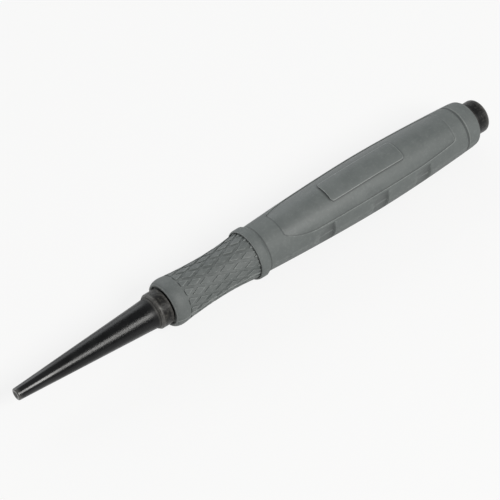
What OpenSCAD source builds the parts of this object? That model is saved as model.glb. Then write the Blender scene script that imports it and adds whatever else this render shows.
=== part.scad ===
// Nail setter: a turned steel punch in a moulded grip of two pieces.
// The axis runs along +X from the tip to the striking end, and the tip stands at the origin.

/* [Punch] */
// Diameter of the tip
tip_d = 3.2; // [2:0.1:4]
// Length of the tapered nose, from the tip to the shoulder
nose_length = 39.8; // [34:0.2:46]
// Diameter of the nose where it meets the shoulder
nose_base_d = 8.1; // [6.8:0.1:8.4]
// Diameter of the bar at the collar and at the striking end
bar_d = 9.52; // [9:0.02:9.8]
// Length of bare collar in front of the grip
collar_length = 3.7; // [2.4:0.1:5]
// Length of bare steel behind the grip
striking_length = 5; // [3.5:0.1:7]
// Diameter of the turned-down shank inside the grip
shank_d = 8; // [7.6:0.1:8.4]
// Distance across the two keying flats of the shank
shank_flats = 7; // [6.4:0.1:7.4]

/* [Front sleeve] */
// Length of the front sleeve
sleeve_length = 26.8; // [24.5:0.1:30]
// Diameter of the rounded lip at the front
lip_d = 12.8; // [12.2:0.1:13.6]
// Diameter at the waist, over the raised pads
waist_d = 11.32; // [11:0.02:12]
// Diameter at the rear end, over the raised pads
sleeve_rear_d = 12.7; // [12.2:0.1:12.9]
// Height of the raised pads above the channels between them
pad_height = 0.25; // [0.15:0.01:0.35]
// Raised pads around the sleeve
pads_around = 15; // [12:1:16]
// Length from one ring of pads to the next but one, which stands in line with it
pad_pitch = 6.44; // [5.6:0.02:8]

/* [Handle] */
// Length of the handle
handle_length = 77.5; // [72:0.5:84]
// Diameter of the ring at the front
ring_d = 14; // [13.8:0.1:15]
// Diameter just behind the ring
neck_d = 12.9; // [12.4:0.1:13.4]
// Largest diameter of the handle
swell_d = 15.7; // [14.8:0.1:17]
// Diameter at the rear end, before its rounding
handle_rear_d = 13.1; // [12.4:0.1:14]
// Depth of the two long panels
panel_depth = 0.3; // [0.2:0.02:0.45]
// Length of the two long panels
panel_length = 58.6; // [52:0.2:61]
// Length of the raised plate in the upper panel
plate_length = 25; // [18:0.5:32]
// Width of the raised plate in the upper panel
plate_width = 6.6; // [5:0.1:8]
// Depth of the finger scoops in the side rails
scoop_depth = 0.65; // [0.4:0.05:0.9]
// Length of a finger scoop
scoop_length = 6; // [4:0.1:8]

/* [Hidden] */
$fn = 96;
steel = [0.13, 0.13, 0.14];
sleeve_grey = [0.45, 0.47, 0.46];
handle_grey = [0.43, 0.45, 0.44];
// Gap between a moulding and the steel
mould_gap = 0.04;
// How far a cut runs past the surface it opens
overrun = 1;

// Places along the axis
sleeve_start = nose_length + collar_length;
socket_depth = 0.8;
seam_gap = 0.15;
handle_start = sleeve_start + sleeve_length - socket_depth;
handle_end = handle_start + handle_length;
overall_length = handle_end + striking_length;

// Radii that the pieces share
tip_r = tip_d / 2;
bar_r = bar_d / 2;
shank_r = shank_d / 2;

// Shoulders of the steel, just clear of the two mouths of the grip
shoulder_gap = 0.15;
collar_end = sleeve_start - shoulder_gap;
striking_start = handle_end + shoulder_gap;

// Tip, shoulder and striking end
cup_r_share = 0.62;
cup_depth = 0.35;
tip_edge = 0.3;
shoulder_edge_share = 0.85;
shoulder_edge = shoulder_edge_share * (bar_d - nose_base_d) / 2;
striking_edge = 1;
arc_steps = 6;

// Keying flats, one pair under each moulding
sleeve_key_length = 10;
handle_key_length = 24;
sleeve_key_start = sleeve_start + (sleeve_length - sleeve_key_length) / 2;
handle_key_start = handle_start + (handle_length - handle_key_length) / 2;

// Front sleeve
lip_depth = 2.2;
lip_front_d = 11;
lip_turn = 16;
smooth_length = 3.9;
zone_start = sleeve_start + smooth_length;
waist_share = 0.58;
waist_x = sleeve_start + waist_share * sleeve_length;
pad_share = 0.66;
pad_lead = 0.8;
pad_margin = 0.3;
lip_steps = 3;
curve_steps = 10;

// Handle
ring_face = 0.9;
ring_length = 2.7;
ring_slope = 0.75;
ring_front_d = ring_d - 0.5 * ring_slope;
neck_x = handle_start + ring_length + ring_slope;
swell_share = 0.535;
swell_x = handle_start + swell_share * handle_length;
front_swell_power = 1.6;
rear_swell_power = 1.8;
groove_back = 5.6;
groove_width = 0.9;
groove_depth = 0.22;
rear_round = 1.25;
body_steps = 14;

// Panels: how far each point lies along the panel, and its share of the half angle
panel_front = 9.2;
panel_half_angle = 59.5;
panel_outline_shares = [
    [0, 0.54], [0.006, 0.6], [0.017, 0.67], [0.043, 0.785], [0.077, 0.885],
    [0.11, 0.95], [0.154, 1], [0.22, 1], [0.3, 1], [0.38, 1], [0.46, 1],
    [0.54, 1], [0.62, 1], [0.7, 1], [0.77, 1], [0.87, 0.953], [0.94, 0.912],
    [0.978, 0.886], [0.993, 0.85], [1, 0.77]
];
plate_middle_share = 0.49;
plate_corner = 0.9;

// Scoops: middle of each one as a share of the handle, and the run of their two ends
scoop_shares = [0.272, 0.507, 0.706];
scoop_front_run = 1.6;
scoop_rear_run = 0.9;

// Points of an elliptical arc in [radius, distance along the axis]
function arc(r0, x0, r_size, x_size, from, to) = [
    for (i = [0 : arc_steps])
        let (a = from + (to - from) * i / arc_steps)
        [r0 + r_size * sin(a), x0 - x_size * cos(a)]
];

// Lip: a quarter ellipse that hands over to the waist curve just behind its peak
lip_r = lip_d / 2;
lip_front_r = lip_front_d / 2;
lip_peak_x = sleeve_start + lip_depth;
lip_join_r = lip_front_r + (lip_r - lip_front_r) * cos(lip_turn);
lip_join_x = lip_peak_x + lip_depth * sin(lip_turn);

// Outline of the sleeve, over the pads
function sleeve_r(x) = x < waist_x
    ? waist_d / 2 + (lip_join_r - waist_d / 2) * pow((waist_x - x) / (waist_x - lip_join_x), 2)
    : waist_d / 2 + (sleeve_rear_d - waist_d) / 2 * pow((x - waist_x) / (handle_start - waist_x), 2);

// Outline of the handle behind its ring
function body_r(x) = x < swell_x
    ? swell_d / 2 - (swell_d - neck_d) / 2 * pow((swell_x - x) / (swell_x - neck_x), front_swell_power)
    : swell_d / 2 - (swell_d - handle_rear_d) / 2 * pow((x - swell_x) / (handle_end - swell_x), rear_swell_power);

function sleeve_curve(from, to, steps, drop = 0) = [
    for (i = [0 : steps])
        let (x = from + (to - from) * i / steps)
        [sleeve_r(x) - drop, x]
];

function body_curve(from, to, steps, drop = 0) = [
    for (i = [0 : steps])
        let (x = from + (to - from) * i / steps)
        [body_r(x) - drop, x]
];

// Turns a half outline, given in [radius, distance], about the X axis
module turned(points) {
    rotate([0, 90, 0])
        rotate_extrude()
            polygon(points);
}

// The turned-down shank inside the grip, grown by a gap where a moulding closes round it
module shank(start, end, gap) {
    difference() {
        turned([[0, start], [shank_r + gap, start], [shank_r + gap, end], [0, end]]);
        key_flats(sleeve_key_start, sleeve_key_length, gap);
        key_flats(handle_key_start, handle_key_length, gap);
    }
}

// Two blocks that take flats off the shank, over and under the axis
module key_flats(start, length, gap) {
    for (side = [-1, 1])
        translate([start + gap, -shank_d / 2 - gap, side > 0 ? shank_flats / 2 + gap : -shank_flats / 2 - gap - shank_d])
            cube([length - 2 * gap, shank_d + 2 * gap, shank_d]);
}

// Room for the shank in a moulding
module shank_bore() {
    shank(sleeve_start - overrun, handle_end + overrun, mould_gap);
}

// Punch

module punch() {
    cup_r = tip_r * cup_r_share;
    cup_sphere_r = (cup_r * cup_r + cup_depth * cup_depth) / (2 * cup_depth);
    cup_angle = asin(cup_r / cup_sphere_r);
    color(steel) {
        turned(concat(
            arc(0, cup_depth - cup_sphere_r, cup_sphere_r, -cup_sphere_r, 0, cup_angle),
            arc(tip_r - tip_edge, tip_edge, tip_edge, tip_edge, 0, 90),
            [[nose_base_d / 2, nose_length]],
            arc(bar_r - shoulder_edge, nose_length + shoulder_edge, shoulder_edge, shoulder_edge, 0, 90),
            [[bar_r, collar_end], [0, collar_end]]
        ));
        shank(collar_end, striking_start, 0);
        turned(concat(
            [[0, striking_start], [bar_r, striking_start]],
            arc(bar_r - striking_edge, overall_length - striking_edge, striking_edge, striking_edge, 90, 180),
            [[0, overall_length]]
        ));
    }
}

// Front sleeve

module front_sleeve() {
    zone_end = handle_start;
    spigot_end = handle_start + socket_depth - seam_gap;
    spigot_r = sleeve_rear_d / 2 - pad_height;
    color(sleeve_grey)
        difference() {
            union() {
                turned(concat(
                    [[0, sleeve_start]],
                    arc(lip_front_r, lip_peak_x, lip_r - lip_front_r, lip_depth, 0, 90 + lip_turn),
                    sleeve_curve(lip_join_x, zone_start, lip_steps),
                    sleeve_curve(zone_start, waist_x, curve_steps, pad_height),
                    sleeve_curve(waist_x, zone_end, curve_steps, pad_height),
                    [[spigot_r, spigot_end], [0, spigot_end]]
                ));
                intersection() {
                    pads();
                    turned(concat(
                        [[bar_r, zone_start + pad_margin]],
                        sleeve_curve(zone_start + pad_margin, waist_x, curve_steps),
                        sleeve_curve(waist_x, zone_end, curve_steps),
                        [[bar_r, zone_end]]
                    ));
                }
            }
            shank_bore();
        }
}

// Lozenge columns that stand on the bar, in rings turned by half a step from one to the next
module pads() {
    step = 360 / pads_around;
    rings = ceil((handle_start - zone_start) / (pad_pitch / 2)) + 1;
    half_length = pad_pitch * pad_share / 2;
    half_width = waist_d / 2 * tan(step * pad_share / 2);
    for (ring = [0 : rings - 1])
        for (i = [0 : pads_around - 1])
            translate([zone_start + pad_lead + ring * pad_pitch / 2, 0, 0])
                rotate([90 + step * (i + ((ring + 1) % 2) / 2), 0, 0])
                    linear_extrude(lip_d)
                        polygon([[-half_length, 0], [0, -half_width], [half_length, 0], [0, half_width]]);
}

// Handle

module handle() {
    groove_x = handle_end - groove_back;
    color(handle_grey)
        difference() {
            turned(concat(
                [[0, handle_start]],
                arc(ring_front_d / 2, handle_start + ring_face, (ring_d - ring_front_d) / 2, ring_face, 0, 90),
                [[ring_d / 2, handle_start + ring_length]],
                body_curve(neck_x, swell_x, body_steps),
                body_curve(swell_x, groove_x, body_steps),
                [[body_r(groove_x + groove_width / 2) - groove_depth, groove_x + groove_width / 2]],
                body_curve(groove_x + groove_width, handle_end - rear_round, 2),
                arc(body_r(handle_end) - rear_round, handle_end - rear_round, rear_round, rear_round, 90, 180),
                [[0, handle_end]]
            ));
            sleeve_socket();
            panel();
            mirror([0, 0, 1]) panel_blank();
            scoops();
            shank_bore();
        }
}

// Counterbore in the ring's front face that takes the sleeve's rear end
module sleeve_socket() {
    turned([
        [0, handle_start - overrun],
        [sleeve_rear_d / 2 + seam_gap, handle_start - overrun],
        [sleeve_rear_d / 2 + seam_gap, handle_start + socket_depth],
        [0, handle_start + socket_depth]
    ]);
}

// Upper panel, with the plain plate left standing in it
module panel() {
    plate_x = handle_start + panel_front + plate_middle_share * panel_length;
    difference() {
        panel_blank();
        translate([plate_x, 0, 0])
            linear_extrude(swell_d)
                rounded_plate(plate_length, plate_width, plate_corner);
    }
}

// What a panel takes away: the space outside the sunk surface, inside the panel's outline
module panel_blank() {
    panel_start = handle_start + panel_front;
    side = [
        for (point = panel_outline_shares)
            let (x = panel_start + point[0] * panel_length)
            [x, body_r(x) * sin(panel_half_angle * point[1])]
    ];
    other_side = [
        for (i = [len(side) - 1 : -1 : 0])
            [side[i][0], -side[i][1]]
    ];
    difference() {
        linear_extrude(swell_d)
            polygon(concat(side, other_side));
        turned(concat(
            [[0, neck_x]],
            body_curve(neck_x, swell_x, body_steps, panel_depth),
            body_curve(swell_x, handle_end - rear_round, body_steps, panel_depth),
            [[0, handle_end - rear_round]]
        ));
    }
}

module rounded_plate(length, width, corner) {
    square([length - 2 * corner, width], center = true);
    square([length, width - 2 * corner], center = true);
    for (x = [-1, 1])
        for (y = [-1, 1])
            translate([x * (length / 2 - corner), y * (width / 2 - corner)])
                circle(corner, $fn = 32);
}

// Finger scoops: each fades in from the front, runs flat and ends steeply
module scoops() {
    for (side = [0, 1])
        mirror([0, side, 0])
            for (share = scoop_shares)
                scoop(handle_start + share * handle_length);
}

module scoop(middle) {
    floor_y = body_r(middle) - scoop_depth;
    rise = 2 * scoop_depth;
    front = middle - scoop_length / 2;
    rear = middle + scoop_length / 2;
    front_reach = scoop_front_run * rise / scoop_depth;
    rear_reach = scoop_rear_run * rise / scoop_depth;
    translate([0, 0, -swell_d / 2])
        linear_extrude(swell_d)
            polygon([
                [front + scoop_front_run - front_reach, floor_y + rise],
                [front + scoop_front_run, floor_y],
                [rear - scoop_rear_run, floor_y],
                [rear - scoop_rear_run + rear_reach, floor_y + rise]
            ]);
}

punch();
front_sleeve();
handle();
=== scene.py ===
import math

import bmesh
import bpy
from mathutils import Matrix, Vector


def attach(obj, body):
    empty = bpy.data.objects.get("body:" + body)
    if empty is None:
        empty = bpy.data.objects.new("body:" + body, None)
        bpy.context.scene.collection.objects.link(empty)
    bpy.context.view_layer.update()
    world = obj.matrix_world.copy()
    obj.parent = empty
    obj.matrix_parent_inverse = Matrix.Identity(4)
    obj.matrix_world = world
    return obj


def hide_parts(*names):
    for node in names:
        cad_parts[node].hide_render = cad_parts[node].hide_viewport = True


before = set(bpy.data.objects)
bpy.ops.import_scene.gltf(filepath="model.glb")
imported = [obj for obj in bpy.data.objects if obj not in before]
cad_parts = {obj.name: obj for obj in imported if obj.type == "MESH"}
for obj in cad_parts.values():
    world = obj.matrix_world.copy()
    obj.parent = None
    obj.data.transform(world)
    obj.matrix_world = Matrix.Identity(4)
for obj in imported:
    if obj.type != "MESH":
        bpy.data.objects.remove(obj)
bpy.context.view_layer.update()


# Punch
# One bar of carbon steel: a tapered nose with a cupped tip, a short collar and a striking end.
# Turned and ground, hardened, then blackened in oil. The grip is moulded round its hidden shank.

def first_ring(name, x, radius, sides):
    # A ring of edges round the tool's axis, left selected for turn_along
    bpy.ops.object.select_all(action="DESELECT")
    bpy.ops.mesh.primitive_circle_add(vertices=sides, radius=radius, fill_type="NOTHING",
                                      location=(x, 0, 0), rotation=(0, math.radians(90), 0))
    piece = bpy.context.object
    piece.name = piece.data.name = name
    bpy.ops.object.transform_apply(location=True, rotation=True, scale=True)
    bpy.ops.object.mode_set(mode="EDIT")
    bpy.ops.mesh.select_mode(type="EDGE")
    bpy.ops.mesh.select_all(action="SELECT")
    return piece


def turn_along(rings):
    # Extrudes the selected ring from each (x, radius) of the profile to the next
    for (x, radius), (next_x, next_radius) in zip(rings, rings[1:]):
        bpy.ops.mesh.extrude_region_move(TRANSFORM_OT_translate={"value": (next_x - x, 0, 0)})
        grow = next_radius / radius
        bpy.ops.transform.resize(value=(1, grow, grow), center_override=(next_x, 0, 0))


def pick(piece, kind, test):
    # Selects only the vertices, edges or faces that pass the test
    bpy.ops.mesh.select_mode(type=kind)
    bpy.ops.mesh.select_all(action="DESELECT")
    mesh = bmesh.from_edit_mesh(piece.data)
    parts = {"VERT": mesh.verts, "EDGE": mesh.edges, "FACE": mesh.faces}[kind]
    for part in parts:
        if test(part):
            part.select_set(True)
    mesh.select_flush_mode()
    bmesh.update_edit_mesh(piece.data)


def middle(part):
    return sum((vertex.co for vertex in part.verts), part.verts[0].co * 0) / len(part.verts)


def from_axis(place):
    return math.hypot(place.y, place.z)


def close_end(piece, x, radius):
    pick(piece, "VERT", lambda v: abs(v.co.x - x) < NEAR and abs(from_axis(v.co) - radius) < NEAR)
    bpy.ops.mesh.extrude_region_move(TRANSFORM_OT_translate={"value": (0, 0, 0)})
    bpy.ops.mesh.merge(type="CENTER")


def arc(x, radius, x_size, radius_size, start, end, steps):
    # Points of a profile on part of an ellipse round (x, radius): 0 degrees faces the tip, 90 outward
    points = []
    for i in range(steps + 1):
        angle = math.radians(start + (end - start) * i / steps)
        points.append((x - x_size * math.cos(angle), radius + radius_size * math.sin(angle)))
    return points


def finish_mesh(smooth_below):
    bpy.ops.mesh.select_all(action="SELECT")
    bpy.ops.mesh.normals_make_consistent(inside=False)
    bpy.ops.object.mode_set(mode="OBJECT")
    bpy.ops.object.shade_smooth_by_angle(angle=math.radians(smooth_below))


def mark_edges(piece):
    # Sharp outer edges are marked above 0 (rubbed pale, with painted highlight on the grip) and inner
    # corners below 0 (painted shade on the grip, dullness on the steel)
    least_marked, fully_marked = math.radians(13), math.radians(24)
    mesh = bmesh.new()
    mesh.from_mesh(piece.data)
    marks = piece.data.attributes.new("edge_wear_and_light", "FLOAT", "POINT")
    for vertex in mesh.verts:
        turns = [edge.calc_face_angle_signed() for edge in vertex.link_edges
                 if len(edge.link_faces) == 2]
        sharpest = max(turns, key=abs, default=0)
        if abs(sharpest) > least_marked:
            marks.data[vertex.index].value = max(-1, min(1, sharpest / fully_marked))
    mesh.free()


mm = 0.001
NEAR = 1e-6
SAME_SPOT = 1e-7
LENGTH = 152 * mm
FACE_X = 151.9995 * mm  # a hair inside the CAD model's end
BAR_R = 4.76 * mm
SHANK_R = 4 * mm
TIP_R = 1.6 * mm
TIP_ROUND = 0.3 * mm
CUP_R = 1.02 * mm
CUP_ROUND = 0.05 * mm
NOSE_END = 39.8 * mm
NOSE_R = 4.05 * mm
SHOULDER_R = 4.3 * mm
SHOULDER_HOLLOW = 0.15 * mm
COLLAR_START = 40.4 * mm
COLLAR_ROUND = 0.12 * mm
COLLAR_ROUND_LENGTH = 0.16 * mm
COLLAR_END = 43.35 * mm
STRIKING_START = 147.15 * mm
STRIKING_ROUND = 1 * mm
CORNER = 0.1 * mm
PUNCH_SIDES = 96

# The cup and the rounded tip, from the middle outward
punch_rings = [(0.345 * mm, 0.15 * mm), (0.31 * mm, 0.36 * mm),
               (0.21 * mm, 0.65 * mm), (0.09 * mm, 0.86 * mm)]
punch_rings += arc(CUP_ROUND, CUP_R, CUP_ROUND, CUP_ROUND, -60, 0, 3)
punch_rings += arc(TIP_ROUND, TIP_R - TIP_ROUND, TIP_ROUND, TIP_ROUND, 0, 90, 5)
# The nose, the hollow shoulder and the collar
for x in (4 * mm, 8 * mm, 13 * mm, 18 * mm, 23 * mm, 28 * mm, 33 * mm, 37 * mm, 39.6 * mm):
    punch_rings.append((x, TIP_R + (NOSE_R - TIP_R) * (x - TIP_ROUND) / (NOSE_END - TIP_ROUND)))
punch_rings += [(NOSE_END, NOSE_R + 0.06 * mm)]
punch_rings += arc(NOSE_END + SHOULDER_HOLLOW, SHOULDER_R, SHOULDER_HOLLOW, SHOULDER_HOLLOW, 0, 55, 4)
punch_rings += arc(COLLAR_START, BAR_R - COLLAR_ROUND, COLLAR_ROUND_LENGTH, COLLAR_ROUND, 40, 90, 4)
punch_rings += [(41.4 * mm, BAR_R), (42.4 * mm, BAR_R)]
punch_rings += arc(COLLAR_END - CORNER, BAR_R - CORNER, CORNER, CORNER, 90, 180, 3)
# The shank and the striking end
punch_rings += [(COLLAR_END, SHANK_R), (STRIKING_START, SHANK_R)]
punch_rings += arc(STRIKING_START + CORNER, BAR_R - CORNER, CORNER, CORNER, 0, 90, 3)
punch_rings += [(148.4 * mm, BAR_R), (149.7 * mm, BAR_R)]
punch_rings += arc(FACE_X - STRIKING_ROUND, BAR_R - STRIKING_ROUND, STRIKING_ROUND, STRIKING_ROUND,
                   90, 180, 7)
punch_rings += [(FACE_X, 2.4 * mm), (FACE_X, 0.6 * mm)]

punch = first_ring("punch_steel", *punch_rings[0], PUNCH_SIDES)
turn_along(punch_rings)
close_end(punch, *punch_rings[0])
close_end(punch, *punch_rings[-1])
bpy.ops.mesh.select_all(action="SELECT")
bpy.ops.mesh.remove_doubles(threshold=SAME_SPOT)
finish_mesh(smooth_below=42)
mark_edges(punch)


def new_material(name):
    # The nodes made next go into this material
    global nodes
    material = bpy.data.materials.new(name)
    material.use_nodes = True
    nodes = material.node_tree.nodes
    nodes.clear()
    return material


def node(kind, x, y, inputs=None, **settings):
    # An input is either another node's output, which is linked, or a plain value
    made = nodes.new(kind)
    made.location = (x, y)
    for key, value in settings.items():
        setattr(made, key, value)
    for name, value in (inputs or {}).items():
        if isinstance(value, bpy.types.NodeSocket):
            made.id_data.links.new(value, made.inputs[name])
        else:
            made.inputs[name].default_value = value
    return made


def ramp(x, y, source, stops):
    # A stop's shade is one grey number or a colour
    made = node("ShaderNodeValToRGB", x, y, {0: source})
    bar = made.color_ramp.elements
    while len(bar) < len(stops):
        bar.new(0.5)
    for element, (at, shade) in zip(bar, stops):
        element.position = at
        element.color = (*shade, 1) if isinstance(shade, tuple) else (shade, shade, shade, 1)
    return made.outputs[0]


def noise(x, y, vector, scale, detail, rough):
    inputs = {"Vector": vector, "Scale": scale, "Detail": detail, "Roughness": rough}
    return node("ShaderNodeTexNoise", x, y, inputs).outputs["Fac"]


def maths(x, y, operation, first, second, clamp=False):
    made = node("ShaderNodeMath", x, y, {0: first, 1: second}, operation=operation, use_clamp=clamp)
    return made.outputs[0]


def mix(x, y, share, first, second):
    return node("ShaderNodeMix", x, y, {0: share, 6: first, 7: second}, data_type="RGBA").outputs[2]


black_steel = new_material("oil_blackened_steel")
place = node("ShaderNodeTexCoord", -1800, 0).outputs["Object"]
place_x = node("ShaderNodeSeparateXYZ", -1600, 300, {0: place}).outputs["X"]
along = maths(-1400, 300, "DIVIDE", place_x, LENGTH)

# Masks along the bar, whose stops are shares of its length. The first is where the blacking has worn
# off: the tip, the edges of the collar and the rim that is struck
worn_places = ramp(-1200, 500, along, [
    (0.0, 0.7), (0.002, 0.4), (0.006, 0.0), (0.2595, 0.0), (0.2625, 0.6), (0.2655, 0.6), (0.269, 0.04),
    (0.283, 0.04), (0.2855, 0.42), (0.287, 0.0), (0.966, 0.0), (0.9905, 0.06), (0.9955, 0.6),
    (1.0, 0.7)])
# The collar and the striking end are left rough from the lathe, with a brownish bloom
rough_skin = ramp(-1200, 800, along, [
    (0.0, 0.0), (0.261, 0.0), (0.266, 1.0), (0.285, 1.0), (0.287, 0.0), (0.965, 0.0), (0.975, 0.15),
    (0.985, 0.75), (0.995, 0.5), (1.0, 0.1)])
# The tip is polished by nails, and the grain gets coarser from there to the collar
tip_polish = ramp(-1200, 1400, along, [(0.0, 0.1), (0.05, 0.11), (0.08, 0.02), (0.2, 0.0)])
coarser = ramp(-1200, 1700, along, [
    (0.0, 0.0), (0.08, 0.0), (0.15, 0.7), (0.2, 1.0), (0.255, 1.0), (0.284, 1.0), (0.287, 0.0),
    (0.97, 0.0), (0.98, 0.9), (0.994, 0.5), (1.0, 0.05)])

# Turned lines run round the bar, and handling scratches run along it
lathe = node("ShaderNodeMapping", -1600, -250, {0: place, "Scale": (5200, 260, 260)}).outputs[0]
lathe_lines = noise(-1400, -250, lathe, 1, 3, 0.6)
drawn = node("ShaderNodeMapping", -1600, -550, {0: place, "Scale": (90, 2600, 2600)}).outputs[0]
scratches = ramp(-1200, -550, noise(-1400, -550, drawn, 1, 4, 0.7), [(0.56, 0.0), (0.72, 1.0)])
grains = noise(-1400, -850, place, 3200, 3, 0.6)
blotches = noise(-1400, -1150, place, 380, 4, 0.55)
spots = noise(-1400, 0, place, 1500, 5, 0.65)
worn_spots = ramp(-1200, 0, spots, [(0.28, 0.36), (0.66, 1.0)])

edges = node("ShaderNodeAttribute", -1400, 1000, attribute_name="edge_wear_and_light").outputs["Fac"]
steel_grime = maths(-1200, 1000, "MULTIPLY", edges, -1, clamp=True)
rubbed_spots = maths(-1200, 1200, "MULTIPLY", worn_spots, 0.7)
rubbed = maths(-1000, 1150, "MULTIPLY", edges, rubbed_spots, clamp=True)
wear = maths(-750, 300, "MAXIMUM", maths(-950, 300, "MULTIPLY", worn_places, worn_spots), rubbed)

oiled_black = ramp(-900, -1150, blotches, [
    (0.3, (0.0018, 0.0021, 0.0026)), (0.62, (0.0048, 0.0051, 0.0056))])
brown_bloom = ramp(-900, -850, spots, [
    (0.36, (0.001, 0.001, 0.001)), (0.52, (0.005, 0.005, 0.0046)), (0.68, (0.055, 0.053, 0.047))])
bare_steel = (0.21, 0.205, 0.195, 1)
blacking = mix(-550, -700, rough_skin, oiled_black, brown_bloom)
steel_colour = mix(-300, -500, wear, blacking, bare_steel)

# How rough: the oiled skin in blotches, scratched, grained, polished at the tip, dull where it is grimy
rough = ramp(-900, 0, blotches, [(0.3, 0.27), (0.7, 0.36)])
rough = maths(-500, 0, "ADD", rough, maths(-700, -100, "MULTIPLY", scratches, 0.1))
grain_rough = maths(-700, -200, "MULTIPLY", maths(-850, -200, "SUBTRACT", grains, 0.5), 0.3)
rough = maths(-500, -100, "ADD", rough, grain_rough)
rough = maths(-350, -50, "SUBTRACT", rough, tip_polish)
rough = maths(-350, -150, "SUBTRACT", rough, maths(-500, -200, "MULTIPLY", coarser, 0.09))
rough = maths(-300, 50, "ADD", rough, maths(-500, 150, "MULTIPLY", rough_skin, 0.16))
rough = maths(-150, 50, "ADD", rough, maths(-300, 200, "MULTIPLY", steel_grime, 0.5), clamp=True)

# How deep: turned lines, grain and scratches
coarseness = maths(-900, 1700, "ADD", maths(-1000, 1700, "MULTIPLY", coarser, 11), 0.9)
height = maths(-500, -250, "ADD", maths(-900, -300, "MULTIPLY", lathe_lines, 0.35),
               maths(-900, -600, "MULTIPLY", grains, coarseness))
height = maths(-300, -250, "ADD", height, maths(-700, -450, "MULTIPLY", scratches, -0.35))
relief = node("ShaderNodeBump", -50, -300, {"Height": height, "Strength": 0.5, "Distance": 0.009 * mm})

# The film of oil is thick at the tip, thin up the nose and dried off the rough skin
oil = maths(-350, 450, "MULTIPLY", tip_polish, 3.6)
oil = maths(-200, 450, "ADD", oil, maths(-350, 600, "MULTIPLY", coarser, 0.07))
oil = maths(-50, 450, "MULTIPLY", oil, maths(-200, 600, "SUBTRACT", 1, rough_skin))

steel = node("ShaderNodeBsdfPrincipled", 200, 0, {
    "Base Color": steel_colour, "Metallic": maths(-50, 250, "MULTIPLY", wear, 0.7), "Roughness": rough,
    "Specular IOR Level": 0.25, "IOR": 1.45, "Coat Weight": oil, "Coat Roughness": 0.22,
    "Normal": relief.outputs[0]})
node("ShaderNodeOutputMaterial", 500, 0, {0: steel.outputs[0]})

punch.data.materials.append(black_steel)
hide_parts("punch")
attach(punch, "root")


# Front sleeve
# The front half of the grip: a smooth rounded lip, then a waist covered in raised lozenge pads.
# Grey elastomer moulded round the shank. A thin flash line shows where the two mould halves met.

BORE_R = 4.04 * mm
OUTSIDE_R = 5 * mm  # everything farther from the axis is the outside of the grip
MOUTH_X = 44.1 * mm
LIP_PEAK_X = 45.7 * mm
LIP_BASE_R = 5.5 * mm
LIP_HEIGHT = 0.9 * mm
LIP_HALF_LENGTH = 2.2 * mm
LIP_TURN = 106  # degrees of the lip's round, from its mouth to where it meets the waist
LIP_JOIN_X = LIP_PEAK_X - LIP_HALF_LENGTH * math.cos(math.radians(LIP_TURN))
LIP_JOIN_R = LIP_BASE_R + LIP_HEIGHT * math.sin(math.radians(LIP_TURN))
WAIST_X = 59.044 * mm
WAIST_R = 5.66 * mm
PADS_START = 47.7 * mm
PADS_END = 69.5 * mm
PADS_END_RISE = 0.69 * mm
PAD_HEIGHT = 0.25 * mm
PAD_ROUND = 0.06 * mm
PAD_REACH = 66  # per cent of the way from a pad's middle to the crossings beside it
PAD_CORNER_REACH = 2.2 * mm  # a pad's corners are nearer to its middle than this
PAD_MIDDLE_REACH = 0.25 * mm  # and the middle of its face is this near
HALF_PITCH = 3.22 * mm
FIRST_PADS_X = 48.2 * mm
PAD_RINGS = 8
NET_COLUMNS = 30
NET_R = 6 * mm
SLEEVE_END = 70.15 * mm
SLEEVE_END_R = 6.1 * mm
FLASH_START = 43.6 * mm
FLASH_WIDTH = 0.26 * mm
FLASH_HEIGHT = 0.08 * mm
FLASH_ROOT = 0.4 * mm
FLASH_TAPER = 0.45
FLASH_ZONE = 0.2 * mm


def sleeve_r(x):
    if x < WAIST_X:
        return WAIST_R + (LIP_JOIN_R - WAIST_R) * ((WAIST_X - x) / (WAIST_X - LIP_JOIN_X)) ** 2
    return WAIST_R + PADS_END_RISE * ((x - WAIST_X) / (PADS_END - WAIST_X)) ** 2


def lip_r(x):
    if x > LIP_JOIN_X:
        return sleeve_r(x)
    return LIP_BASE_R + LIP_HEIGHT * math.sqrt(max(0, 1 - ((LIP_PEAK_X - x) / LIP_HALF_LENGTH) ** 2))


# A net of rings at half the pads' pitch, whose every other crossing is the middle of a pad
sleeve = first_ring("front_sleeve_moulding", FIRST_PADS_X - HALF_PITCH, NET_R, NET_COLUMNS)
turn_along([(FIRST_PADS_X + (k - 1) * HALF_PITCH, NET_R) for k in range(PAD_RINGS + 2)])


def crossing(vertex):
    ring = round((vertex.co.x - FIRST_PADS_X) / HALF_PITCH)
    from_side = math.degrees(math.atan2(-vertex.co.y, vertex.co.z)) - 90
    return ring, round(from_side / (360 / NET_COLUMNS))


def pad_middle(vertex):
    ring, column = crossing(vertex)
    return 0 <= ring < PAD_RINGS and (ring + column) % 2 == 1


def near_pad_middle(place, reach):
    return any((place - spot).length < reach for spot in pad_middles)


def between_pads(vertex):
    # A crossing where four pads would meet, and no corner of a pad
    ring, column = crossing(vertex)
    on_ring = abs((vertex.co.x - FIRST_PADS_X) / HALF_PITCH - ring) < 0.02
    return (on_ring and len(vertex.link_edges) >= 3 and (ring + column) % 2 == 0
            and not near_pad_middle(vertex.co, PAD_CORNER_REACH))


pick(sleeve, "VERT", pad_middle)
pad_middles = [vertex.co.copy() for vertex in bmesh.from_edit_mesh(sleeve.data).verts if vertex.select]
bpy.ops.mesh.bevel(offset_type="PERCENT", offset_pct=PAD_REACH, segments=1, affect="VERTICES")
pick(sleeve, "VERT", between_pads)
bpy.ops.mesh.vert_connect()


def set_from_axis(vertex, radius):
    grow = radius / from_axis(vertex.co)
    vertex.co.y *= grow
    vertex.co.z *= grow


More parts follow.
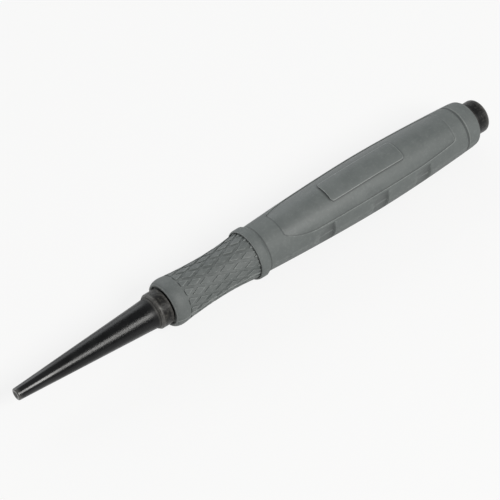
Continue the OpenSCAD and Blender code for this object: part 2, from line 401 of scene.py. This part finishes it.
# The pads keep their own mark while the net is made finer and laid on the turned waist
for face in bmesh.from_edit_mesh(sleeve.data).faces:
    face.material_index = 1 if near_pad_middle(middle(face), PAD_MIDDLE_REACH) else 0
bmesh.update_edit_mesh(sleeve.data)
bpy.ops.mesh.select_all(action="SELECT")
bpy.ops.mesh.subdivide(number_cuts=5)
for x, inner, outer in ((PADS_START, True, False), (PADS_END, False, True)):
    bpy.ops.mesh.select_all(action="SELECT")
    bpy.ops.mesh.bisect(plane_co=(x, 0, 0), plane_no=(1, 0, 0), threshold=SAME_SPOT,
                        clear_inner=inner, clear_outer=outer)
for vertex in bmesh.from_edit_mesh(sleeve.data).verts:
    set_from_axis(vertex, sleeve_r(vertex.co.x) - PAD_HEIGHT)
bmesh.update_edit_mesh(sleeve.data)


def open_ring(piece, x):
    pick(piece, "EDGE", lambda e: e.is_boundary and all(abs(v.co.x - x) < NEAR for v in e.verts))


# From the floor between the pads up to the smooth lip, over it and into the mouth
floor_front = sleeve_r(PADS_START) - PAD_HEIGHT
lip_rings = [(PADS_START, floor_front), (47.45 * mm, floor_front)]
lip_rings += [(47.4 * mm, sleeve_r(47.4 * mm) - 0.06 * mm), (47.32 * mm, sleeve_r(47.3 * mm))]
lip_rings += [(x, sleeve_r(x)) for x in (47 * mm, 46.65 * mm)]
lip_rings += arc(LIP_PEAK_X, LIP_BASE_R, LIP_HALF_LENGTH, LIP_HEIGHT, LIP_TURN, 0, 12)
lip_rings += [(43.53 * mm, 5.28 * mm), (43.7 * mm, 5.12 * mm), (MOUTH_X, 5.06 * mm),
              (MOUTH_X, 4.6 * mm), (MOUTH_X, BORE_R)]
open_ring(sleeve, PADS_START)
turn_along(lip_rings)
open_ring(sleeve, PADS_END)
turn_along([(PADS_END, SLEEVE_END_R), (SLEEVE_END, SLEEVE_END_R), (SLEEVE_END, BORE_R)])
pick(sleeve, "EDGE", lambda e: e.is_boundary)
bpy.ops.mesh.bridge_edge_loops()
for face in bmesh.from_edit_mesh(sleeve.data).faces:
    at = middle(face)
    if not PADS_START < at.x < PADS_END or from_axis(at) < OUTSIDE_R:
        face.material_index = 0
bpy.ops.mesh.select_all(action="SELECT")
bpy.ops.mesh.normals_make_consistent(inside=False)


def sharp_between(edge, angle, start, end):
    # An edge on the outside of the grip, between two places along it, that turns by more than the angle
    at = middle(edge)
    return (len(edge.link_faces) == 2 and edge.calc_face_angle() > math.radians(angle)
            and start < at.x < end and from_axis(at) > OUTSIDE_R)


# The pads stand up from the net, with a small round on their edges
pick(sleeve, "FACE", lambda f: f.material_index == 1)
bpy.ops.mesh.extrude_region(use_normal_flip=False)
for vertex in bmesh.from_edit_mesh(sleeve.data).verts:
    if vertex.select:
        set_from_axis(vertex, from_axis(vertex.co) + PAD_HEIGHT)
bmesh.update_edit_mesh(sleeve.data)
pick(sleeve, "EDGE", lambda e: sharp_between(e, 50, PADS_START - 0.01 * mm, PADS_END + 0.01 * mm))
bpy.ops.mesh.bevel(offset=PAD_ROUND, segments=2, affect="EDGES", clamp_overlap=True)
for face in bmesh.from_edit_mesh(sleeve.data).faces:
    face.material_index = 0
bmesh.update_edit_mesh(sleeve.data)
finish_mesh(smooth_below=40)


def front_of(ridge):
    return max(vertex.co.x for vertex in bmesh.from_edit_mesh(ridge.data).verts)


# The flash line: a hair-fine ridge along both sides, left where the two mould halves met
flash_stations = [x * mm for x in (43.75, 44.1, 44.6, 45.2, 45.9, 46.6, 47.4, 48.6, 50, 52, 54, 56, 58,
                                   60, 62, 64, 66, 68, 69.3)]
ridge_y = 5.6 * mm
ridges = []
for side in (-1, 1):
    bpy.ops.mesh.primitive_cube_add(size=1, location=(FLASH_START, side * ridge_y, 0))
    ridge = bpy.context.object
    ridge.scale = (0.05 * mm, 0.3 * mm, FLASH_WIDTH)
    bpy.ops.object.transform_apply(location=True, rotation=True, scale=True)
    bpy.ops.object.mode_set(mode="EDIT")
    pick(ridge, "FACE", lambda f: f.normal.x > 0.9)
    for x in flash_stations:
        step = x - front_of(ridge)
        bpy.ops.mesh.extrude_region_move(TRANSFORM_OT_translate={"value": (step, 0, 0)})
    for vertex in bmesh.from_edit_mesh(ridge.data).verts:
        outer = abs(vertex.co.y) > ridge_y
        top = lip_r(vertex.co.x) + FLASH_HEIGHT
        vertex.co.y = side * (top if outer else top - FLASH_ROOT)
        if outer:
            vertex.co.z *= FLASH_TAPER
    bmesh.update_edit_mesh(ridge.data)
    bpy.ops.object.mode_set(mode="OBJECT")
    ridge.select_set(False)
    ridges.append(ridge)
bpy.ops.object.select_all(action="DESELECT")
for part in (*ridges, sleeve):
    part.select_set(True)
bpy.context.view_layer.objects.active = sleeve
bpy.ops.object.join()
bpy.ops.object.mode_set(mode="EDIT")
finish_mesh(smooth_below=40)
mark_edges(sleeve)

# The pads' rims and the step in front of them get less of the rubbed pale and painted highlight than the
# flash line
for vertex, mark in zip(sleeve.data.vertices, sleeve.data.attributes["edge_wear_and_light"].data):
    if abs(vertex.co.z) > FLASH_ZONE and mark.value > 0:
        if PADS_START < vertex.co.x < PADS_END:
            mark.value *= 0.55
        elif 46 * mm < vertex.co.x < PADS_START:
            mark.value *= 0.15

# The moulded skin: fine spark-eroded pits, a slow mottle and pale rubbed specks, for both mouldings
skin = bpy.data.node_groups.new("moulded_skin", "ShaderNodeTree")
skin.interface.new_socket("Place", in_out="INPUT", socket_type="NodeSocketVector")
for name in ("Pit Scale", "Mottle Scale"):
    skin.interface.new_socket(name, in_out="INPUT", socket_type="NodeSocketFloat")
for name in ("Mottle", "Specks", "Pits", "Shine"):
    skin.interface.new_socket(name, in_out="OUTPUT", socket_type="NodeSocketFloat")
nodes = skin.nodes
given = node("NodeGroupInput", -900, 0).outputs
pits = noise(-600, 300, given["Place"], given["Pit Scale"], 4, 0.62)
mottle = noise(-600, 0, given["Place"], given["Mottle Scale"], 5, 0.6)
mottle = ramp(-350, 0, mottle, [(0.3, 0.0), (0.7, 1.0)])
speck_scale = maths(-800, -400, "MULTIPLY", given["Mottle Scale"], 5.5)
specks = noise(-600, -300, given["Place"], speck_scale, 3, 0.7)
specks = ramp(-350, -300, specks, [(0.52, 0.0), (0.74, 1.0)])
skin_shine = maths(-100, -150, "ADD", maths(-250, -150, "MULTIPLY", mottle, 0.5),
                   maths(-250, -250, "MULTIPLY", pits, 0.5))
node("NodeGroupOutput", 200, 0, {"Mottle": mottle, "Specks": specks, "Pits": pits, "Shine": skin_shine})


def grip_material(name, pit_scale, mottle_scale, dark, light, rubbed, roughness, bump, shade_amount):
    material = new_material(name)
    place = node("ShaderNodeTexCoord", -1000, 0).outputs["Object"]
    surface = node("ShaderNodeGroup", -750, 0, node_tree=skin, inputs={
        "Place": place, "Pit Scale": pit_scale, "Mottle Scale": mottle_scale}).outputs

    # Mottled and specked, with the edges rubbed pale and lightened as a painted highlight, and painted
    # shade darkening the corners
    colour = ramp(-450, 200, surface["Mottle"], [(0.0, dark), (1.0, light)])
    colour = mix(-150, 150, maths(-300, 0, "MULTIPLY", surface["Specks"], 0.35), colour, (*rubbed, 1))
    edges = node("ShaderNodeAttribute", -1000, 500, attribute_name="edge_wear_and_light").outputs["Fac"]
    # Painted highlight, partly rubbed wear: outer edges lightened toward a paler rubbed colour
    edge_rub_and_highlight = maths(-750, 650, "ADD", surface["Specks"], 0.8)
    edge_rub_and_highlight = maths(-600, 550, "MULTIPLY", edges, edge_rub_and_highlight, clamp=True)
    colour = mix(0, 350, edge_rub_and_highlight, colour, (*[1.35 * c for c in rubbed], 1))
    # Painted shade: inner corners darkened toward a third of the dark colour
    corner_shade = maths(-600, 450, "MULTIPLY", edges, -shade_amount, clamp=True)
    colour = mix(150, 350, corner_shade, colour, (*[0.3 * c for c in dark], 1))

    # Dull, but smoother where the hand has polished it
    rough = ramp(-450, -200, surface["Shine"], [(0.25, roughness), (0.75, roughness + 0.12)])
    polished = node("ShaderNodeAttribute", -450, -450, attribute_name="handled").outputs["Fac"]
    rough = maths(-150, -200, "SUBTRACT", rough, maths(-300, -400, "MULTIPLY", polished, 0.14))

    relief = node("ShaderNodeBump", -150, -300, {
        "Height": surface["Pits"], "Strength": bump, "Distance": 0.16 * mm})
    shader = node("ShaderNodeBsdfPrincipled", 150, 0, {
        "Base Color": colour, "Roughness": rough, "IOR": 1.48, "Normal": relief.outputs[0]})
    node("ShaderNodeOutputMaterial", 450, 0, {0: shader.outputs[0]})
    return material


sleeve.data.materials.append(grip_material(
    "sleeve_elastomer", pit_scale=4200, mottle_scale=300, dark=(0.095, 0.106, 0.104),
    light=(0.118, 0.129, 0.127), rubbed=(0.188, 0.2, 0.196), roughness=0.52, bump=0.35,
    shade_amount=0.06))
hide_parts("front_sleeve")
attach(sleeve, "root")


# Handle
# The main grip: a ring, a swelling body with a long sunk panel above and below, a bare raised plate in
# the upper one, three finger scoops on each side, a fine groove and a rounded rear. Moulded in the same
# grey elastomer, with the same flash line along its sides.

HANDLE_START = 69.5 * mm
HANDLE_END = 147 * mm
SEAT_END = 70.3 * mm
SEAT_R = 6.43 * mm
REAR_ROUND = 1.25 * mm
REAR_MOUTH_X = 146.7 * mm
NECK_X = 72.95 * mm
NECK_DROP = 1.4 * mm
NECK_CURVE = 1.6
SWELL_X = 110.9625 * mm
SWELL_R = 7.85 * mm
REAR_DROP = 1.3 * mm
REAR_CURVE = 1.8
PANEL_START = 78.7 * mm
PANEL_LENGTH = 58.6 * mm
PANEL_END = PANEL_START + PANEL_LENGTH
PANEL_HALF_ANGLE = 59.5
PANEL_DEPTH = 0.31 * mm
PANEL_ROUND = 0.08 * mm
REAR_WALL_START = PANEL_START + 0.978 * PANEL_LENGTH
REAR_WALL_SLOPE = 0.35
PANEL_FADE_FRONT = 5 * mm
PANEL_FADE_REAR = 4 * mm
PLATE_FRONT = 94.914 * mm
PLATE_REAR = 119.914 * mm
PLATE_HALF_WIDTH = 3.3 * mm
PLATE_CORNER = 0.9 * mm
PLATE_LIMIT = 0.43  # the most that the plate's columns take of the panel's angle
LEAST_RIM = 4  # degrees kept between the panel's edge and the scoops'
SCOOP_DEPTH = 0.65 * mm
SCOOP_MIDDLES = (90.58 * mm, 108.7925 * mm, 124.215 * mm)
SCOOP_FRONT = 1.5 * mm
SCOOP_REAR = 2.6 * mm
SCOOP_FADE = 2.5 * mm
SCOOP_FADE_START = 3 * mm
SCOOP_FADE_LENGTH = 1.6 * mm
SCOOP_SHADE_LENGTH = 3.9 * mm
SCOOP_REACH = 3.2 * mm
SCOOP_ANGLE = 66.3  # degrees round from the top to the column that runs from scoop to scoop
RAIL_ANGLE = 64  # degrees round from the top to where the side rails begin
COLUMNS = 108
EDGE_BAND = 0.3 * mm
SIDE_Y = 6.3 * mm  # the sides of the handle are farther out than this
RIDGE_START = 69.9 * mm
RIDGE_END = 146 * mm
RIDGE_FULL_START = 70.5 * mm
RIDGE_FULL_END = 145.5 * mm
RIDGE_HALF_WIDTH = 0.09 * mm
CREST_HALF_WIDTH = 0.02 * mm
CREST_DROP = 0.006 * mm
FOOT_DROP = 0.07 * mm

# How far round the panel's edge is, as a share of its widest, at each share of its length
panel_outline = [(0, 0.54), (0.006, 0.6), (0.017, 0.67), (0.043, 0.785), (0.077, 0.885), (0.11, 0.95),
                 (0.154, 1), (0.77, 1), (0.87, 0.953), (0.94, 0.912), (0.978, 0.886), (0.993, 0.85),
                 (1, 0.77)]


def body_r(x):
    if x < SWELL_X:
        return SWELL_R - NECK_DROP * ((SWELL_X - x) / (SWELL_X - NECK_X)) ** NECK_CURVE
    return SWELL_R - REAR_DROP * ((x - SWELL_X) / (HANDLE_END - SWELL_X)) ** REAR_CURVE


def along_table(table, place):
    for (a, value_a), (b, value_b) in zip(table, table[1:]):
        if a <= place <= b:
            return value_a + (value_b - value_a) * (place - a) / (b - a)
    return table[0][1] if place < table[0][0] else table[-1][1]


# Rings where the panel narrows toward its ends, round the plate's ends and the scoops, and between them
body_stations = [PANEL_START + share * PANEL_LENGTH for share, reach in panel_outline if reach < 1]
body_stations += [PLATE_FRONT + beside * mm for beside in (-0.66, -0.31, 0, 0.186, 0.486, 0.886)]
body_stations += [PLATE_REAR + beside * mm for beside in (-0.886, -0.486, -0.186, 0, 0.31, 0.79)]
for at in SCOOP_MIDDLES:
    body_stations += [at + beside * mm for beside in (-3, -1.4, 2.57, 3)]
body_stations += [x * mm for x in (
    73.6, 74.5, 75.7, 77, 77.9, 78.35, 86.4, 88.2, 90.5, 92, 97.2, 98.8, 100.4, 102, 103.6, 104.8, 106.4,
    108.8, 110.2, 113, 114.6, 116.2, 117.8, 121.8, 124.2, 125.6, 128.4, 131, 132.4, 134.9, 137.6, 138.2,
    138.8, 139.8, 140.9)]
# The groove's depth in mm at each place
groove = [(141.25, 0), (141.4, 0), (141.5, 0.05), (141.6, 0.17), (141.75, 0.22), (141.95, 0.22),
          (142.1, 0.17), (142.2, 0.05), (142.3, 0), (142.5, 0)]

# The seat of the sleeve, the ring and the crease behind it
handle_rings = [(SEAT_END, BORE_R), (SEAT_END, SEAT_R), (69.58 * mm, SEAT_R), (HANDLE_START, 6.5 * mm)]
handle_rings += arc(70.4 * mm, 6.72 * mm, 0.9 * mm, 0.28 * mm, 0, 90, 7)
handle_rings += [(71.1 * mm, 7 * mm)]
handle_rings += arc(71.75 * mm, 6.7 * mm, 0.4 * mm, 0.3 * mm, 90, 150, 4)
handle_rings += [(72.6 * mm, 6.56 * mm), (72.78 * mm, 6.45 * mm), (72.9 * mm, 6.36 * mm),
                 (73.02 * mm, 6.4 * mm), (73.2 * mm, body_r(73.2 * mm))]
# The body, the groove and the rounded rear
handle_rings += [(x, body_r(x)) for x in sorted(body_stations)]
handle_rings += [(x * mm, body_r(x * mm) - depth * mm) for x, depth in groove]
handle_rings += [(x * mm, body_r(x * mm)) for x in (143.6, 144.8)]
handle_rings += arc(HANDLE_END - REAR_ROUND, body_r(HANDLE_END) - REAR_ROUND, REAR_ROUND, REAR_ROUND,
                    90, 180, 8)
handle_rings += [(HANDLE_END, 5.1 * mm), (146.96 * mm, 4.92 * mm), (REAR_MOUTH_X, 4.84 * mm),
                 (REAR_MOUTH_X, BORE_R)]

handle = first_ring("handle_moulding", *handle_rings[0], COLUMNS)
turn_along(handle_rings)


def from_top(place):
    # Degrees round the axis from the middle of the nearer panel, the same on both sides
    return math.degrees(math.atan2(abs(place.y), abs(place.z)))


def column_angles(x):
    # How far round the edges of the plate, of the panel and of the scoops are, in degrees
    panel = PANEL_HALF_ANGLE * along_table(panel_outline, (x - PANEL_START) / PANEL_LENGTH)
    beyond = max((PANEL_START - x) / PANEL_FADE_FRONT, (x - PANEL_END) / PANEL_FADE_REAR, 0)
    panel += (PANEL_HALF_ANGLE - panel) * min(1, beyond) ** 1.5
    corner = min(abs(x - PLATE_FRONT), abs(x - PLATE_REAR))
    width = PLATE_HALF_WIDTH
    if corner < PLATE_CORNER and PLATE_FRONT - NEAR < x < PLATE_REAR + NEAR:
        width -= PLATE_CORNER - math.sqrt(PLATE_CORNER ** 2 - (PLATE_CORNER - corner) ** 2)
    plate = min(math.degrees(math.asin(width / body_r(x))), PLATE_LIMIT * panel)
    nearest = min(SCOOP_MIDDLES, key=lambda at: abs(at - x))
    scoop = SCOOP_ANGLE
    if abs(nearest - x) < SCOOP_REACH:
        scoop = math.degrees(math.asin((body_r(nearest) - SCOOP_DEPTH) / body_r(x)))
    return plate, panel, max(scoop, panel + LEAST_RIM)


def slid_angle(column, x):
    plate, panel, scoop = column_angles(x)
    beside = math.degrees(EDGE_BAND / body_r(x))
    marks = [(0, 0), (5, plate - beside), (6, plate), (7, plate + beside), (8, plate + 2 * beside),
             (14, panel - beside), (15, panel), (16, panel + beside), (21, scoop), (COLUMNS // 4, 90)]
    return along_table(marks, column)


# The columns are slid round until one runs along each edge of the panels, the plate and the scoops
for vertex in bmesh.from_edit_mesh(handle.data).verts:
    radius = from_axis(vertex.co)
    column = round(from_top(vertex.co) / (360 / COLUMNS))
    angle = math.radians(slid_angle(column, vertex.co.x))
    vertex.co.y = math.copysign(radius * math.sin(angle), vertex.co.y)
    vertex.co.z = math.copysign(radius * math.cos(angle), vertex.co.z)
    if column == 0:
        vertex.co.y = 0
    if column == COLUMNS // 4:
        vertex.co.z = 0
bmesh.update_edit_mesh(handle.data)


def inside_panel(face, side, plate_too):
    at = middle(face)
    if at.z * side < 0 or from_axis(at) < OUTSIDE_R or not PANEL_START < at.x < PANEL_END:
        return False
    slack = 0.05
    past_plate = max(from_top(v.co) - column_angles(v.co.x)[0] for v in face.verts)
    past_rim = max(from_top(v.co) - column_angles(v.co.x)[1] for v in face.verts)
    on_plate = PLATE_FRONT < at.x < PLATE_REAR and past_plate < slack
    return past_rim <= slack and (plate_too or not on_plate)


# The panels are sunk, with the upper one's plate left standing, and their rear wall slopes
for side, plate_too in ((1, False), (-1, True)):
    pick(handle, "FACE", lambda f: inside_panel(f, side, plate_too))
    bpy.ops.mesh.extrude_region(use_normal_flip=False)
    for vertex in bmesh.from_edit_mesh(handle.data).verts:
        if vertex.select:
            set_from_axis(vertex, from_axis(vertex.co) - PANEL_DEPTH)
            vertex.co.x -= REAR_WALL_SLOPE * max(0, vertex.co.x - REAR_WALL_START)
    bmesh.update_edit_mesh(handle.data)

# The scoops are planed flat, fading in from the front and ending in a steep wall
for vertex in bmesh.from_edit_mesh(handle.data).verts:
    for at in SCOOP_MIDDLES:
        floor_y = body_r(at) - SCOOP_DEPTH
        past = vertex.co.x - at
        if abs(vertex.co.y) > floor_y and -SCOOP_FRONT < past < SCOOP_REAR:
            vertex.co.y = math.copysign(floor_y, vertex.co.y)
        elif abs(vertex.co.y) > floor_y and -SCOOP_FADE < past <= -SCOOP_FRONT:
            share = (past + SCOOP_FADE_START) / SCOOP_FADE_LENGTH
            vertex.co.y += (math.copysign(floor_y, vertex.co.y) - vertex.co.y) * share
bmesh.update_edit_mesh(handle.data)

# The flash line where the mould halves met: its foot is set in, so that its crest is left standing
pick(handle, "EDGE", lambda e: all(abs(v.co.z) < SAME_SPOT for v in e.verts)
     and abs(middle(e).y) > SIDE_Y and RIDGE_START < middle(e).x < RIDGE_END)
bpy.ops.mesh.bevel(offset=RIDGE_HALF_WIDTH, segments=2, affect="EDGES")
for vertex in bmesh.from_edit_mesh(handle.data).verts:
    x, y, z = vertex.co
    if abs(z) < FLASH_ZONE and abs(y) > SIDE_Y and RIDGE_FULL_START < x < RIDGE_FULL_END:
        vertex.co.y -= math.copysign(CREST_DROP if abs(z) < CREST_HALF_WIDTH else FOOT_DROP, y)
bmesh.update_edit_mesh(handle.data)

# The bore is closed, and the edges of the panels, the plate and the scoops get a small round
pick(handle, "EDGE", lambda e: e.is_boundary)
bpy.ops.mesh.bridge_edge_loops()
bpy.ops.mesh.select_all(action="SELECT")
bpy.ops.mesh.normals_make_consistent(inside=False)
pick(handle, "EDGE", lambda e: sharp_between(e, 20, PANEL_START - 0.7 * mm, PANEL_END + 0.7 * mm)
     and abs(middle(e).z) > FLASH_ZONE + 0.1 * mm)
bpy.ops.mesh.bevel(offset=PANEL_ROUND, segments=2, affect="EDGES", clamp_overlap=True)
finish_mesh(smooth_below=40)
mark_edges(handle)


# Start and end in mm, the mark put there, and the share that is kept of the edge's own mark: painted
# shade in the crease behind the ring and in the groove, and fainter marks beside them, where the rims
# keep part of their painted highlight
mark_bands = [(72.7, 73.1, -0.5, 0), (141.35, 142.05, -0.65, 0), (71.4, 73.5, 0, 0.1),
              (141, 141.4, 0, 0.1), (142.05, 142.4, 0, 0.45)]


def faded(mark, outer, inner):
    # Keeps a share of the mark: one share on outer edges, another in inner corners
    return mark * (outer if mark > 0 else inner)


def grip_mark(place, mark):
    x, y, z = place
    for start, end, added, kept in mark_bands:
        if start * mm < x < end * mm:
            return added + kept * mark
    around = from_top(place)
    plate, panel, _ = column_angles(x)
    beside = math.degrees(EDGE_BAND / body_r(x))
    on_rail = around > RAIL_ANGLE
    panel_edge = around > 0.8 * panel and PANEL_START < x < PANEL_END
    # The crest of the flash line gets a painted highlight all along, partly rubbed pale
    if on_rail and abs(z) < FLASH_ZONE and RIDGE_FULL_START < x < RIDGE_FULL_END:
        return 0.6 if abs(z) < CREST_HALF_WIDTH else 0
    # The front end of a panel gets painted shade; its far side and rear end keep only their rubbed pale
    # edges with painted highlight
    if PANEL_START - 0.2 * mm < x < PANEL_START + 0.5 * mm:
        return -0.6 * abs(mark)
    if panel_edge and y > 0:
        return faded(mark, outer=0.5, inner=0)
    if around < 62 and PANEL_END - 1.2 * mm < x < PANEL_END + 0.4 * mm:
        return faded(mark, outer=1, inner=0)
    # The scoops' edges and the panel's near side keep only part of their painted highlight, rubbed pale,
    # and painted shade, less toward the front
    if on_rail:
        return faded(mark, outer=0.25, inner=0.45)
    if panel_edge and x < 86 * mm:
        return faded(mark, outer=0.25, inner=0.4)
    if panel_edge:
        return faded(mark, outer=0.75, inner=0.2)
    # Painted shade round the foot of the plate, across its ends and along its sides
    if z > 0 and PLATE_FRONT - 0.35 * mm < x < PLATE_REAR + 0.35 * mm and mark > -0.1:
        at_end = x < PLATE_FRONT - 0.2 * mm or x > PLATE_REAR + 0.2 * mm
        if at_end and around < plate - 2 * beside:
            return -0.75 if x < PLATE_FRONT else -0.45
        if not at_end and plate + 0.8 * beside < around < plate + 1.2 * beside:
            return -0.4
    return mark


def scoop_mark(place, mark):
    # Painted shade thickens toward the wall at the rear of each scoop
    for at in SCOOP_MIDDLES:
        depth = (place.x - (at - SCOOP_FRONT)) / SCOOP_SHADE_LENGTH
        planed = abs(place.y) < body_r(at) - SCOOP_DEPTH + 0.02 * mm
        if 0 < depth < 1.12 and planed and from_top(place) > RAIL_ANGLE:
            mark = min(mark, -0.55 * depth)
    return mark


# The grip's edges get their painted highlight, rubbed pale in part, and painted shade
for vertex, mark in zip(handle.data.vertices, handle.data.attributes["edge_wear_and_light"].data):
    mark.value = grip_mark(vertex.co, mark.value)
    if abs(vertex.co.z) > FLASH_ZONE:
        mark.value = scoop_mark(vertex.co, mark.value)

# The panels are polished a little by the hand
handled = handle.data.attributes.new("handled", "FLOAT", "POINT")
for vertex in handle.data.vertices:
    x = vertex.co.x
    if PANEL_START < x < PANEL_END and from_top(vertex.co) < column_angles(x)[1]:
        handled.data[vertex.index].value = 1

handle.data.materials.append(grip_material(
    "handle_elastomer", pit_scale=3800, mottle_scale=240, dark=(0.099, 0.111, 0.109),
    light=(0.122, 0.135, 0.132), rubbed=(0.19, 0.202, 0.198), roughness=0.54, bump=0.4,
    shade_amount=0.92))
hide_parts("handle")
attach(handle, "root")


# Floor, light and camera
# A wide, plain, pale floor just under the tool, two large soft lamps and an even pale room.
# The camera looks down at the tool from its tip, as in the photograph.

FLOOR_Z = -(SWELL_R + 0.01 * mm)
FLOOR_SIZE = 40
FLOOR_GLOW = 0.82
ROOM_LIGHT = 0.36

bpy.ops.object.select_all(action="DESELECT")
bpy.ops.mesh.primitive_plane_add(size=FLOOR_SIZE, location=(LENGTH / 2, 0, FLOOR_Z))
floor = bpy.context.object
floor.name = "floor"
floor_paint = new_material("pale_floor")
paint = node("ShaderNodeBsdfPrincipled", 0, 300, {"Base Color": (0.64, 0.64, 0.63, 1), "Roughness": 0.9})
# Seen directly or in a reflection the floor is paler, but it throws no more light on the tool
rays = node("ShaderNodeLightPath", -700, 300).outputs
seen = maths(-450, 300, "MAXIMUM", rays["Is Camera Ray"], rays["Is Glossy Ray"])
seen = maths(-300, 300, "MAXIMUM", seen, rays["Is Transmission Ray"])
glow = node("ShaderNodeEmission", 0, -300, {"Color": (1, 1, 1, 1), "Strength": 1})
paler = node("ShaderNodeMixShader", 300, 100, {
    0: maths(-150, 300, "MULTIPLY", seen, FLOOR_GLOW), 1: paint.outputs[0], 2: glow.outputs[0]})
node("ShaderNodeOutputMaterial", 500, 100, {0: paler.outputs[0]})
floor.data.materials.append(floor_paint)

room = bpy.data.worlds.new("room")
bpy.context.scene.world = room
room.use_nodes = True
room_light = room.node_tree.nodes["Background"].inputs
room_light["Color"].default_value = (1, 1, 1, 1)
room_light["Strength"].default_value = ROOM_LIGHT

lit_place = Vector((30 * mm, 0, 0))
for name, toward, reach, size_across, size_along, energy, tint in (
        ("front_lamp", (0.21, -0.652, 0.728), 1.0, 0.36, 0.46, 8.2, (1.0, 0.99, 0.965)),
        ("back_lamp", (0.0, 0.92, 0.38), 1.3, 1.6, 0.8, 9, (0.96, 0.985, 1.0))):
    lamp = bpy.data.lights.new(name, "AREA")
    lamp.shape = "RECTANGLE"
    lamp.size = size_across
    lamp.size_y = size_along
    lamp.energy = energy
    lamp.color = tint
    stand = bpy.data.objects.new(name, lamp)
    bpy.context.scene.collection.objects.link(stand)
    toward_lamp = Vector(toward).normalized()
    across = toward_lamp.cross(Vector((1, 0, 0))).normalized()
    stand.location = lit_place + toward_lamp * reach
    turned = Matrix((across.cross(toward_lamp), across, toward_lamp)).transposed()
    stand.rotation_euler = turned.to_euler()

# The lens, place and turn were worked out from the tool's outline and seams in the photograph
lens = bpy.data.cameras.new("camera")
lens.lens = 122.316
lens.sensor_width = 36
lens.clip_start = 0.01
camera = bpy.data.objects.new("camera", lens)
bpy.context.scene.collection.objects.link(camera)
camera.location = (-0.116078, -0.180069, 0.339996)
camera.rotation_euler = (math.radians(37.18471), math.radians(-5.0587), math.radians(-39.46305))
bpy.context.scene.camera = camera
bpy.context.scene.view_settings.view_transform = "Standard"
